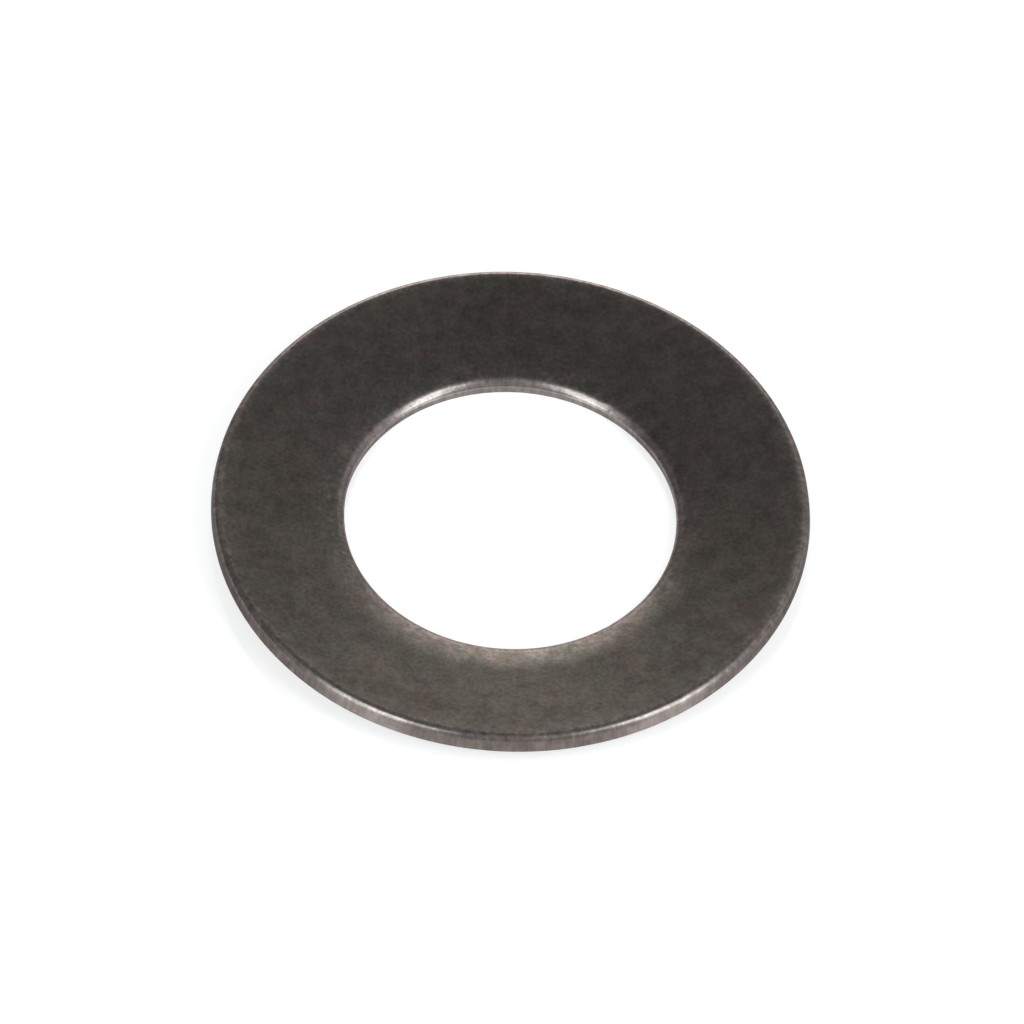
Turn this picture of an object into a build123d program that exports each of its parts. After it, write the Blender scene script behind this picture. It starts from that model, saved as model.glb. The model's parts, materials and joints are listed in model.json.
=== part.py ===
# Conical spring washer: a flat ring of spring steel, punched and then pressed into a shallow dish.
# The hollow side faces +Z. The washer stands on the lower edge of its bore, with the rim held clear.
# The origin is on the axis, in the plane that the lower bore edge stands on. Sizes are in millimetres.
import os
from math import atan2
from math import cos
from math import degrees
from math import radians
from math import sin
from math import tan

from build123d import *

# Overall sizes
OUTER_DIAMETER = 35.0
BORE_DIAMETER = 19.5
THICKNESS = 1.2
# How far one face climbs between the bore and the rim of the unloaded washer
DISH_HEIGHT = 1.2

# Upper edge of the bore, where the punch went in: the face bends over slowly, then turns down into the bore
ROLL_RADIUS = 9.0
ROLL_TURN = 10.0
BORE_EDGE_RADIUS = 0.32

# Tumbled edges
RIM_EDGE_RADIUS = 0.22
SEAT_EDGE_RADIUS = 0.15

# Sizes that follow from those above
bore_radius = BORE_DIAMETER / 2
ring_width = (OUTER_DIAMETER - BORE_DIAMETER) / 2
cone = atan2(DISH_HEIGHT, ring_width)
cone_degrees = degrees(cone)
turned = cone + radians(ROLL_TURN)

# A rounded corner stops short of its sharp point, at the rim sideways and at the seat downwards
rim_loss = RIM_EDGE_RADIUS * (cos(cone) + sin(cone) - 1)
seat_loss = SEAT_EDGE_RADIUS * ((1 + sin(cone)) / cos(cone) - 1)

# Lower corners of the section before rounding
rim_corner_radius = OUTER_DIAMETER / 2 + rim_loss
bore_low = (bore_radius, -seat_loss)
rim_low = (rim_corner_radius, (rim_corner_radius - bore_radius) * tan(cone) - seat_loss)

# Where the upper face starts to bend, so that both arcs together end on the bore wall
roll_run = ROLL_RADIUS * (sin(turned) - sin(cone)) + BORE_EDGE_RADIUS * (1 - sin(turned))
roll_start = (bore_radius + roll_run, THICKNESS / cos(cone) + roll_run * tan(cone) - seat_loss)

# The ring: one section turned round the axis
with BuildPart() as spring_washer:
    with BuildSketch(Plane.XZ) as section:
        with BuildLine():
            lower_face = Line(bore_low, rim_low)
            # the rim wall stays square to the faces, so it leans with the cone
            rim_wall = PolarLine(rim_low, THICKNESS, 90 + cone_degrees)
            upper_face = Line(rim_wall @ 1, roll_start)
            roll = JernArc(roll_start, (-cos(cone), -sin(cone)), ROLL_RADIUS, ROLL_TURN)
            bore_edge = JernArc(roll @ 1, roll % 1, BORE_EDGE_RADIUS, 90 - cone_degrees - ROLL_TURN)
            # the bore wall is parallel to the axis, so that a round shaft is guided by it
            bore_wall = Line(bore_edge @ 1, bore_low)
        make_face()
        rim_corners = section.vertices().sort_by(Axis.X)[-2:]
        fillet(rim_corners, RIM_EDGE_RADIUS)
        seat_corner = section.vertices().sort_by(Axis.Y)[0]
        fillet(seat_corner, SEAT_EDGE_RADIUS)
    revolve(axis=Axis.Z)
spring_washer.part.label = "spring_washer"

os.makedirs("parts", exist_ok=True)
export_step(spring_washer.part, "parts/spring_washer.step")
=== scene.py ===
import json
import math

import bmesh
import bpy
from mathutils import Matrix, Vector, noise


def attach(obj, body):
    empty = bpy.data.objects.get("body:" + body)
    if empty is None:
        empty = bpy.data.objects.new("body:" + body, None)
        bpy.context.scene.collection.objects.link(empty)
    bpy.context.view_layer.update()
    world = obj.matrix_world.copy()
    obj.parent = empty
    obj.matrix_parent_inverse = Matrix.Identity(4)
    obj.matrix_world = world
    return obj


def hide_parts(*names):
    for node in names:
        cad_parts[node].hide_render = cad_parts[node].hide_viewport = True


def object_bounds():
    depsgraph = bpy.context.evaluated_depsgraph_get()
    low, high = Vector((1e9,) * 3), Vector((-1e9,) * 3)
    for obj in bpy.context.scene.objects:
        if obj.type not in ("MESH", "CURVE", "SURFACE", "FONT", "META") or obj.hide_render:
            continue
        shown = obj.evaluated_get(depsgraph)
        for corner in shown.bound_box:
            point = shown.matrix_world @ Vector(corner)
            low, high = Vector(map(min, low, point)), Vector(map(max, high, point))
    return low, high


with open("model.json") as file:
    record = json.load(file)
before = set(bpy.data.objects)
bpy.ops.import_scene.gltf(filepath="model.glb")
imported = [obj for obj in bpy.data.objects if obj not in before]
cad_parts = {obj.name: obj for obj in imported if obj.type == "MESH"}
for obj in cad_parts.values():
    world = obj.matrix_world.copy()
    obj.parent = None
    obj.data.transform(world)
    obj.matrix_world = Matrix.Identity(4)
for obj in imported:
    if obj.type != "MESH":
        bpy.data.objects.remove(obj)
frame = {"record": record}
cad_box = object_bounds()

# All lengths are in metres and all angles in radians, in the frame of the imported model.
MM = 0.001
QUARTER = math.pi / 2

# Sizes of the washer. The outer radius and the bore come from the frame.
BORE_RADIUS = frame["record"]["mounts"][0]["dims"]["r_mm"] * MM
OUTER_RADIUS = cad_box[1].x
THICKNESS = 1.2 * MM
DISH_HEIGHT = 1.2 * MM
CONE = math.atan2(DISH_HEIGHT, OUTER_RADIUS - BORE_RADIUS)

# The upper face goes into the bore by three arcs: a slow roll, a shoulder and a small edge.
# An arc's end is the direction that its surface faces there, with the washer lying flat.
ROLL_RADIUS = 11.0 * MM
ROLL_END = QUARTER + math.radians(10)
SHOULDER_RADIUS = 0.9 * MM
SHOULDER_END = math.radians(131)
BORE_EDGE_RADIUS = 0.3 * MM

# The other rounded corners. A leaned corner stops short of its sharp point by CORNER_LOSS
# times its radius.
RIM_TOP_RADIUS = 0.44 * MM
RIM_LOW_RADIUS = 0.22 * MM
SEAT_EDGE_RADIUS = 0.15 * MM
CORNER_LOSS = math.sin(CONE) + math.cos(CONE) - 1

# How finely the skin is divided
TURN_STEPS = 900
ARC_STEPS = 10
ARC_MIDDLE = ARC_STEPS // 2
UPPER_STEPS = 26
LOWER_STEPS = 12
WALL_STEPS = 5

# How the skin departs from its ideal form. A ding is where noise from -1 to 1 is above DING_START.
WAVE_LENGTH = 2.4 * MM
WAVE_HEIGHT = 0.006 * MM
DING_LENGTH = 0.8 * MM
DING_DEPTH = 0.03 * MM
DING_START = 0.3

# Wear from 0 to 1 at the middle of each worn place, and how far it reaches
SEAT_WEAR = 1.0
RIM_LOW_WEAR = 0.3
LOW_WEAR_REACH = 0.5 * MM
RIM_TOP_WEAR = 0.54
RIM_TOP_WEAR_REACH = 0.42 * MM
RIM_TOP_WEAR_STEP = ARC_MIDDLE + 2
RIM_WALL_WEAR = 0.12
RIM_WALL_WEAR_REACH = THICKNESS
SHOULDER_WEAR = 0.75
SHOULDER_WEAR_REACH = 0.3 * MM
ROLL_WEAR = 0.3
ROLL_WEAR_REACH = 1.6 * MM
BORE_WEAR_DEPTH = BORE_EDGE_RADIUS / 2

# Colours of the steel
COAT_BROWN = (0.121, 0.103, 0.093, 1)
COAT_OLIVE = (0.111, 0.106, 0.093, 1)
COAT_SHEARED = (0.135, 0.112, 0.105, 1)
BARE_STEEL = (0.258, 0.222, 0.212, 1)
EDGE_TINT = (0.42, 0.42, 0.42, 1)
# How upright a surface's normal is: a sheared wall below the first, a face above the second
SHEARED_NORMAL = (0.5, 0.8)

# Mottling of the steel: spot size, how far its noise strays from a half, and the level's change
GRAIN_SIZE = 0.22 * MM
GRAIN_STRAY = 0.15
GRAIN_CHANGE = 0.15
BLOTCH_SIZE = 1.1 * MM
BLOTCH_STRAY = 0.14
BLOTCH_CHANGE = 0.13
BLOTCH_ROUGH = 0.6
BROAD_SIZE = 6 * MM
BROAD_STRAY = 0.2
BROAD_CHANGE = 0.07
CLOUD_SIZE = 2.0 * MM
CLOUD_STRAY = 0.1
# The grain runs up the walls, as shearing leaves it, so its noise sees heights shrunk
UPRIGHT = (1, 1, 0.15)
# Painted reflection: the steel is made lighter in a band along the rim, standing in for the
# brighter reflection the face shows near the rim. The band's start and end are shares of the outer
# radius.
PAINTED_SHEEN_START = 0.89
PAINTED_SHEEN_END = 0.98
PAINTED_SHEEN_GAIN = 1.17

# Where the coat is rubbed off: the ragged border of a worn place, and bright specks
RUB_SIZE = 0.35 * MM
RUB_STRAY = 0.2
RUB_CHANGE = 0.18
RUB_RANGE = (0.15, 0.9)
SPECK_SIZE = 0.11 * MM
SPECK_GAP = 8 * MM

# Gloss and fine relief of the steel
DULL_SIZE = 0.8 * MM
DULL_STRAY = 0.2
DULL_MIDDLE = 0.335
DULL_CHANGE = 0.045
BARE_GLOSS = 0.04
RELIEF_HEIGHT = 0.004 * MM

# The photograph's camera, from the outlines of the rim and the bore
ELEVATION = math.radians(52.05)
LEAN = math.radians(3.26)
DISTANCE = 30 * OUTER_RADIUS
PIXELS_PER_RADIUS = 299.7
PICTURE = 1024
CENTRE_PIXEL = (510.7, 511.2)
SENSOR = 36.0
CLIP_START = 0.01
CLIP_END = 20

# The studio's light by the height of a direction: (direction's Z, level)
STUDIO = ((0.0, 0.27), (0.5, 0.45), (0.62, 0.46), (0.75, 0.34), (0.88, 0.29), (1.0, 0.28))
# It is brighter to the right, and a little brighter in front than behind
SIDE_TILT = 0.55
FRONT_RANGE = (0.3, -0.1)
FRONT_GAIN = 0.12
# A wide, low and warm window of light behind the washer. Each pair is (outside it, fully in it).
WINDOW_LEVEL = 3.0
WINDOW_TOP = (0.51, 0.44)
WINDOW_SIDE = (0.6, 0.08)
WINDOW_SHIFT = 0.03
WINDOW_LEAST_DEPTH = 0.01
WINDOW_COLOUR = (1.0, 0.96, 0.92, 1)
# The pale horizon fades out between these heights
HORIZON_LEVEL = 1.0
HORIZON_RANGE = (0.04, 0.16)

# Softboxes: azimuth 0 is the camera's side, and 90 degrees is to the right
LAMP_RIGHT = math.radians(58)
LAMP_LEFT = math.radians(-42.5)
LAMP_ELEVATION = math.radians(33)
LAMP_DISTANCE = 0.25
LAMP_WIDTH = 0.083
LAMP_HEIGHT = 0.25
LAMP_RADIANCE = 6.0
LAMP_COLOUR = (0.92, 1.0, 1.02)

# The floor. Its glow makes it white as a background, and lights nothing.
FLOOR_RADIUS = 4
FLOOR_SIDES = 64
FLOOR_COLOUR = (0.57, 0.57, 0.57, 1)
FLOOR_ROUGHNESS = 0.5
FLOOR_COAT_IOR = 2.9
FLOOR_COAT_ROUGHNESS = 0.12
FLOOR_GLOW = 0.8
WHITE = (1, 1, 1, 1)


def heading(angle):
    """The direction at an angle in the plane of the section."""
    return Vector((math.cos(angle), math.sin(angle)))


def arc(centre, radius, start, end):
    """Points and outward directions along an arc of the section."""
    found = []
    for step in range(ARC_STEPS + 1):
        way = heading(start + (end - start) * step / ARC_STEPS)
        found.append((centre + radius * way, way))
    return found


def straight(start, end, way, steps):
    """Points strictly between start and end, all facing the same way."""
    return [(start.lerp(end, step / steps), way) for step in range(1, steps)]


def bend_centres():
    """Centres of the bore edge, the shoulder and the roll, which run smoothly into each other."""
    to_shoulder = (BORE_EDGE_RADIUS - SHOULDER_RADIUS) * heading(SHOULDER_END)
    to_roll = (SHOULDER_RADIUS - ROLL_RADIUS) * heading(ROLL_END)
    edge_height = THICKNESS - ROLL_RADIUS - to_shoulder.y - to_roll.y
    edge_centre = Vector((BORE_EDGE_RADIUS, edge_height))
    shoulder_centre = edge_centre + to_shoulder
    return edge_centre, shoulder_centre, shoulder_centre + to_roll


def lean_origin(wall_top):
    """Where the lower bore corner goes. The bore's size is taken halfway up its wall."""
    wall_middle = (SEAT_EDGE_RADIUS + wall_top) / 2
    return Vector((BORE_RADIUS + wall_middle * math.sin(CONE), -SEAT_EDGE_RADIUS * CORNER_LOSS))


def section():
    """The washer's closed section as (point, outward direction, wear) along its skin."""
    # it is drawn lying flat with the bore wall at x = 0, then leaned with the cone
    edge_centre, shoulder_centre, roll_centre = bend_centres()
    origin = lean_origin(edge_centre.y)
    width = (OUTER_RADIUS + RIM_LOW_RADIUS * CORNER_LOSS - origin.x) / math.cos(CONE)
    seat_centre = Vector((SEAT_EDGE_RADIUS, SEAT_EDGE_RADIUS))
    low_centre = Vector((width - RIM_LOW_RADIUS, RIM_LOW_RADIUS))
    high_centre = Vector((width - RIM_TOP_RADIUS, THICKNESS - RIM_TOP_RADIUS))

    seat = arc(seat_centre, SEAT_EDGE_RADIUS, 2 * QUARTER, 3 * QUARTER)
    low = arc(low_centre, RIM_LOW_RADIUS, -QUARTER, 0)
    high = arc(high_centre, RIM_TOP_RADIUS, 0, QUARTER)
    roll = arc(roll_centre, ROLL_RADIUS, QUARTER, ROLL_END)
    shoulder = arc(shoulder_centre, SHOULDER_RADIUS, ROLL_END, SHOULDER_END)
    edge = arc(edge_centre, BORE_EDGE_RADIUS, SHOULDER_END, 2 * QUARTER)

    ring = list(seat)
    ring += straight(seat[-1][0], low[0][0], Vector((0, -1)), LOWER_STEPS)
    ring += low
    ring += straight(low[-1][0], high[0][0], Vector((1, 0)), WALL_STEPS)
    ring += high
    ring += straight(high[-1][0], roll[0][0], Vector((0, 1)), UPPER_STEPS)
    ring += roll
    ring += shoulder[1:]
    ring += edge[1:]
    ring += straight(edge[-1][0], seat[0][0], Vector((-1, 0)), WALL_STEPS)

    marks = [
        (seat[ARC_MIDDLE][0], SEAT_WEAR, LOW_WEAR_REACH),
        (low[ARC_MIDDLE][0], RIM_LOW_WEAR, LOW_WEAR_REACH),
        (high[RIM_TOP_WEAR_STEP][0], RIM_TOP_WEAR, RIM_TOP_WEAR_REACH),
        (Vector((width, THICKNESS / 2)), RIM_WALL_WEAR, RIM_WALL_WEAR_REACH),
        (shoulder[ARC_MIDDLE][0], SHOULDER_WEAR, SHOULDER_WEAR_REACH),
        (shoulder[0][0], ROLL_WEAR, ROLL_WEAR_REACH),
    ]
    lean = Matrix.Rotation(CONE, 2)
    return [(origin + lean @ point, lean @ way, wear(point, marks)) for point, way in ring]


def wear(point, marks):
    """Wear from 0 to 1: full on the bore wall, and falling off round each of the marks."""
    if point.x < BORE_WEAR_DEPTH:
        return 1.0
    found = []
    for mark, most, reach in marks:
        found.append(most * math.exp(-(((point - mark).length / reach) ** 2)))
    return max(found)


def stand_off(place, worn):
    """How far the skin stands off its ideal form: slow waves everywhere, dings where it is worn."""
    wave = WAVE_HEIGHT * noise.noise(place / WAVE_LENGTH)
    ding = DING_DEPTH * max(0, noise.noise(place / DING_LENGTH) - DING_START)
    return wave - ding * worn


def turned_rows(form, ring):
    """The section's vertices at each step round the axis."""
    rows = []
    for turn in range(TURN_STEPS):
        angle = 2 * math.pi * turn / TURN_STEPS
        out = Vector((math.cos(angle), math.sin(angle), 0))
        row = []
        for point, way, worn in ring:
            place = out * point.x + Vector((0, 0, point.y))
            facing = out * way.x + Vector((0, 0, way.y))
            row.append(form.verts.new(place + facing * stand_off(place, worn)))
        rows.append(row)
    return rows


def join_rows(form, rows):
    """Faces from each row to the next, and from the last row to the first."""
    for this, following in zip(rows, rows[1:] + rows[:1]):
        for place in range(len(this)):
            after = (place + 1) % len(this)
            form.faces.new((this[place], following[place], following[after], this[after]))


def show(name, data):
    """A new object in the scene."""
    made = bpy.data.objects.new(name, data)
    bpy.context.scene.collection.objects.link(made)
    return made


def washer_skin():
    """The washer as one closed skin, its section turned round the axis."""
    ring = section()
    form = bmesh.new()
    join_rows(form, turned_rows(form, ring))
    bmesh.ops.recalc_face_normals(form, faces=form.faces)
    mesh = bpy.data.meshes.new("washer_skin")
    form.to_mesh(mesh)
    form.free()
    mesh.shade_smooth()
    mark = mesh.attributes.new("wear", "FLOAT", "POINT")
    mark.data.foreach_set("value", [worn for point, way, worn in ring] * TURN_STEPS)
    return show("washer_skin", mesh)


def add(tree, kind, inputs=None, **settings):
    """Adds a node, gives it its settings, and fills or links its inputs by name or number."""
    made = tree.nodes.new(kind)
    for name, value in settings.items():
        setattr(made, name, value)
    for name, value in (inputs or {}).items():
        if isinstance(value, bpy.types.NodeSocket):
            tree.links.new(value, made.inputs[name])
        else:
            made.inputs[name].default_value = value
    return made


def speckle(tree, place, size, detail=2.0, rough=0.55):
    """Noise from 0 to 1 whose blots are about size across."""
    inputs = {"Vector": place, "Scale": 1 / size, "Detail": detail, "Roughness": rough}
    return add(tree, "ShaderNodeTexNoise", inputs).outputs["Fac"]


def spread(tree, value, low, high, to_low=0.0, to_high=1.0, smooth=False):
    """Maps value from low..high to to_low..to_high, clamped."""
    inputs = {"Value": value, "From Min": low, "From Max": high}
    inputs.update({"To Min": to_low, "To Max": to_high})
    kind = "SMOOTHSTEP" if smooth else "LINEAR"
    return add(tree, "ShaderNodeMapRange", inputs, interpolation_type=kind).outputs["Result"]


def strayed(tree, value, stray, middle=0.5, change=0.5):
    """Noise that strays from a half by stray, as a number that strays from middle by change."""
    return spread(tree, value, 0.5 - stray, 0.5 + stray, middle - change, middle + change)


def compute(tree, kind, *numbers):
    """One arithmetic step on one or two numbers."""
    return add(tree, "ShaderNodeMath", dict(enumerate(numbers)), operation=kind).outputs[0]


def product(tree, first, *others):
    """Several numbers multiplied together."""
    for other in others:
        first = compute(tree, "MULTIPLY", first, other)
    return first


def blend(tree, share, first, second, kind="MIX"):
    """Mixes two colours."""
    inputs = {0: share, 6: first, 7: second}
    return add(tree, "ShaderNodeMix", inputs, data_type="RGBA", blend_type=kind).outputs[2]


def stretched(tree, place, stretch):
    """The place with each axis scaled."""
    inputs = {0: place, 1: stretch}
    return add(tree, "ShaderNodeVectorMath", inputs, operation="MULTIPLY").outputs[0]


def new_material(name):
    """A material with its node tree and its shader."""
    material = bpy.data.materials.new(name)
    material.use_nodes = True
    return material, material.node_tree, material.node_tree.nodes["Principled BSDF"]


def coat(tree, place, normal):
    """The phosphate coat: brown and olive clouds, and a redder tone on the sheared walls."""
    cloud = speckle(tree, place, CLOUD_SIZE, 3)
    colour = blend(tree, strayed(tree, cloud, CLOUD_STRAY), COAT_BROWN, COAT_OLIVE)
    upward = add(tree, "ShaderNodeSeparateXYZ", {0: normal}).outputs["Z"]
    sheared = spread(tree, compute(tree, "ABSOLUTE", upward), *SHEARED_NORMAL, 1, 0)
    return blend(tree, sheared, colour, COAT_SHEARED)


def bareness(tree, place, upright):
    """How bare the steel is: worn places with a ragged border, and a few bright specks."""
    worn = add(tree, "ShaderNodeAttribute", attribute_name="wear").outputs["Fac"]
    rub = strayed(tree, speckle(tree, upright, RUB_SIZE, 3), RUB_STRAY, 0, RUB_CHANGE)
    rubbed = spread(tree, compute(tree, "ADD", worn, rub), *RUB_RANGE, smooth=True)
    cells = add(tree, "ShaderNodeTexVoronoi", {"Vector": place, "Scale": 1 / SPECK_GAP})
    speck_end = SPECK_SIZE / SPECK_GAP
    speck = spread(tree, cells.outputs["Distance"], 0.5 * speck_end, speck_end, 1, 0)
    return compute(tree, "MAXIMUM", rubbed, speck)


def unevenness(tree, place, upright):
    """How much lighter or darker the steel is from spot to spot, around 1, times a painted
    reflection that makes it lighter in a band near the rim.
    """
    grain = strayed(tree, speckle(tree, upright, GRAIN_SIZE), GRAIN_STRAY, 1, GRAIN_CHANGE)
    blotch = speckle(tree, place, BLOTCH_SIZE, 4, BLOTCH_ROUGH)
    blotch = strayed(tree, blotch, BLOTCH_STRAY, 1, BLOTCH_CHANGE)
    broad = strayed(tree, speckle(tree, place, BROAD_SIZE), BROAD_STRAY, 1, BROAD_CHANGE)
    across = stretched(tree, place, (1, 1, 0))
    reach = add(tree, "ShaderNodeVectorMath", {0: across}, operation="LENGTH").outputs["Value"]
    # painted reflection: the steel is made lighter in a band near the rim
    band = (PAINTED_SHEEN_START * OUTER_RADIUS, PAINTED_SHEEN_END * OUTER_RADIUS)
    painted_sheen = spread(tree, reach, *band, 1, PAINTED_SHEEN_GAIN, smooth=True)
    return product(tree, grain, blotch, broad, painted_sheen)


def dullness(tree, place, bare):
    """The steel's roughness, a little lower where it is bare."""
    dull = speckle(tree, place, DULL_SIZE, 3)
    dull = strayed(tree, dull, DULL_STRAY, DULL_MIDDLE, DULL_CHANGE)
    return compute(tree, "SUBTRACT", dull, product(tree, bare, BARE_GLOSS))


def steel():
    """Dark phosphated spring steel, rubbed bright in the bore and along its edges."""
    material, tree, shader = new_material("dark_spring_steel")
    shader.inputs["Metallic"].default_value = 1.0
    shader.inputs["Specular Tint"].default_value = EDGE_TINT
    space = add(tree, "ShaderNodeTexCoord").outputs
    place = space["Object"]
    upright = stretched(tree, place, UPRIGHT)

    bare = bareness(tree, place, upright)
    colour = blend(tree, bare, coat(tree, place, space["Normal"]), BARE_STEEL)
    colour = blend(tree, 1.0, colour, unevenness(tree, place, upright), "MULTIPLY")
    tree.links.new(colour, shader.inputs["Base Color"])
    tree.links.new(dullness(tree, place, bare), shader.inputs["Roughness"])

    grain = speckle(tree, upright, GRAIN_SIZE)
    inputs = {"Strength": 1.0, "Distance": RELIEF_HEIGHT, "Height": grain}
    relief = add(tree, "ShaderNodeBump", inputs)
    tree.links.new(relief.outputs["Normal"], shader.inputs["Normal"])
    return material


def softbox(name, azimuth):
    """A softbox that faces the washer."""
    data = bpy.data.lights.new(name, "AREA")
    data.shape = "RECTANGLE"
    data.size = LAMP_WIDTH
    data.size_y = LAMP_HEIGHT
    data.color = LAMP_COLOUR
    data.energy = LAMP_RADIANCE * math.pi * LAMP_WIDTH * LAMP_HEIGHT
    lamp = show(name, data)
    level = math.cos(LAMP_ELEVATION)
    way = Vector((math.sin(azimuth) * level, -math.cos(azimuth) * level, math.sin(LAMP_ELEVATION)))
    lamp.location = way * LAMP_DISTANCE
    lamp.rotation_mode = "QUATERNION"
    lamp.rotation_quaternion = way.to_track_quat("Z", "Y")
    lamp.visible_camera = False


def studio_level(tree, way):
    """The dim studio's level: by height, and brighter to the right and in front."""
    ramp = add(tree, "ShaderNodeValToRGB", {0: way["Z"]})
    stops = ramp.color_ramp.elements
    while len(stops) < len(STUDIO):
        stops.new(0.5)
    for stop, (height, level) in zip(stops, STUDIO):
        stop.position = height
        stop.color = (level, level, level, 1)
    side = spread(tree, way["X"], -1, 1, 1 - SIDE_TILT, 1 + SIDE_TILT)
    front = spread(tree, way["Y"], *FRONT_RANGE, 1, 1 + FRONT_GAIN)
    return product(tree, ramp.outputs["Color"], side, front)


def window_share(tree, way):
    """1 in the window behind the washer, falling softly to 0 round it."""
    low = spread(tree, way["Z"], *WINDOW_TOP, smooth=True)
    aside = compute(tree, "ABSOLUTE", compute(tree, "ADD", way["X"], WINDOW_SHIFT))
    depth = compute(tree, "MAXIMUM", way["Y"], WINDOW_LEAST_DEPTH)
    behind = spread(tree, compute(tree, "DIVIDE", aside, depth), *WINDOW_SIDE, smooth=True)
    return product(tree, low, behind)


def sky():
    """A dim studio with a low bright window behind the washer and a pale horizon."""
    world = bpy.data.worlds.new("studio")
    bpy.context.scene.world = world
    world.use_nodes = True
    tree = world.node_tree
    toward = add(tree, "ShaderNodeTexCoord").outputs["Generated"]
    way = add(tree, "ShaderNodeSeparateXYZ", {0: toward}).outputs
    window = window_share(tree, way)
    glow = product(tree, window, WINDOW_LEVEL)
    level = compute(tree, "ADD", studio_level(tree, way), glow)
    horizon = spread(tree, way["Z"], *HORIZON_RANGE, HORIZON_LEVEL, 0, smooth=True)
    background = tree.nodes["Background"]
    strength = compute(tree, "MAXIMUM", level, horizon)
    tree.links.new(strength, background.inputs["Strength"])
    tree.links.new(blend(tree, window, WHITE, WINDOW_COLOUR), background.inputs["Color"])


def pale_floor():
    """A smooth pale surface. Its glow is seen by the camera and in mirrors and glass alone."""
    material, tree, shader = new_material("floor")
    shader.inputs["Base Color"].default_value = FLOOR_COLOUR
    shader.inputs["Roughness"].default_value = FLOOR_ROUGHNESS
    shader.inputs["Coat Weight"].default_value = 1.0
    shader.inputs["Coat IOR"].default_value = FLOOR_COAT_IOR
    shader.inputs["Coat Roughness"].default_value = FLOOR_COAT_ROUGHNESS
    shader.inputs["Emission Color"].default_value = WHITE
    path = add(tree, "ShaderNodeLightPath").outputs
    seen = compute(tree, "MAXIMUM", path["Is Camera Ray"], path["Is Glossy Ray"])
    seen = compute(tree, "MAXIMUM", seen, path["Is Transmission Ray"])
    tree.links.new(product(tree, seen, FLOOR_GLOW), shader.inputs["Emission Strength"])
    return material


def floor():
    """A plain round floor at the plane that the washer stands on."""
    mesh = bpy.data.meshes.new("floor")
    form = bmesh.new()
    bmesh.ops.create_circle(form, cap_ends=True, segments=FLOOR_SIDES, radius=FLOOR_RADIUS)
    form.to_mesh(mesh)
    form.free()
    mesh.materials.append(pale_floor())
    show("floor", mesh)


def camera():
    """The photograph's view: from the front and above, leaning a little."""
    data = bpy.data.cameras.new("camera")
    data.sensor_width = SENSOR
    data.lens = PIXELS_PER_RADIUS * (DISTANCE / OUTER_RADIUS) / PICTURE * SENSOR
    data.shift_x = (PICTURE / 2 - CENTRE_PIXEL[0]) / PICTURE
    data.shift_y = (CENTRE_PIXEL[1] - PICTURE / 2) / PICTURE
    data.clip_start = CLIP_START
    data.clip_end = CLIP_END
    eye = show("camera", data)
    aim = Vector((0, 0, (DISH_HEIGHT + THICKNESS) / 2))
    way = Vector((0, -math.cos(ELEVATION), math.sin(ELEVATION)))
    turn = way.to_track_quat("Z", "Y").to_matrix() @ Matrix.Rotation(LEAN, 3, "Z")
    eye.matrix_world = Matrix.Translation(aim + DISTANCE * way) @ turn.to_4x4()
    bpy.context.scene.camera = eye


skin = washer_skin()
skin.data.materials.append(steel())
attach(skin, "root")
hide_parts("spring_washer")

floor()
sky()
softbox("softbox_right", LAMP_RIGHT)
softbox("softbox_left", LAMP_LEFT)
camera()
bpy.context.scene.view_settings.view_transform = "Standard"
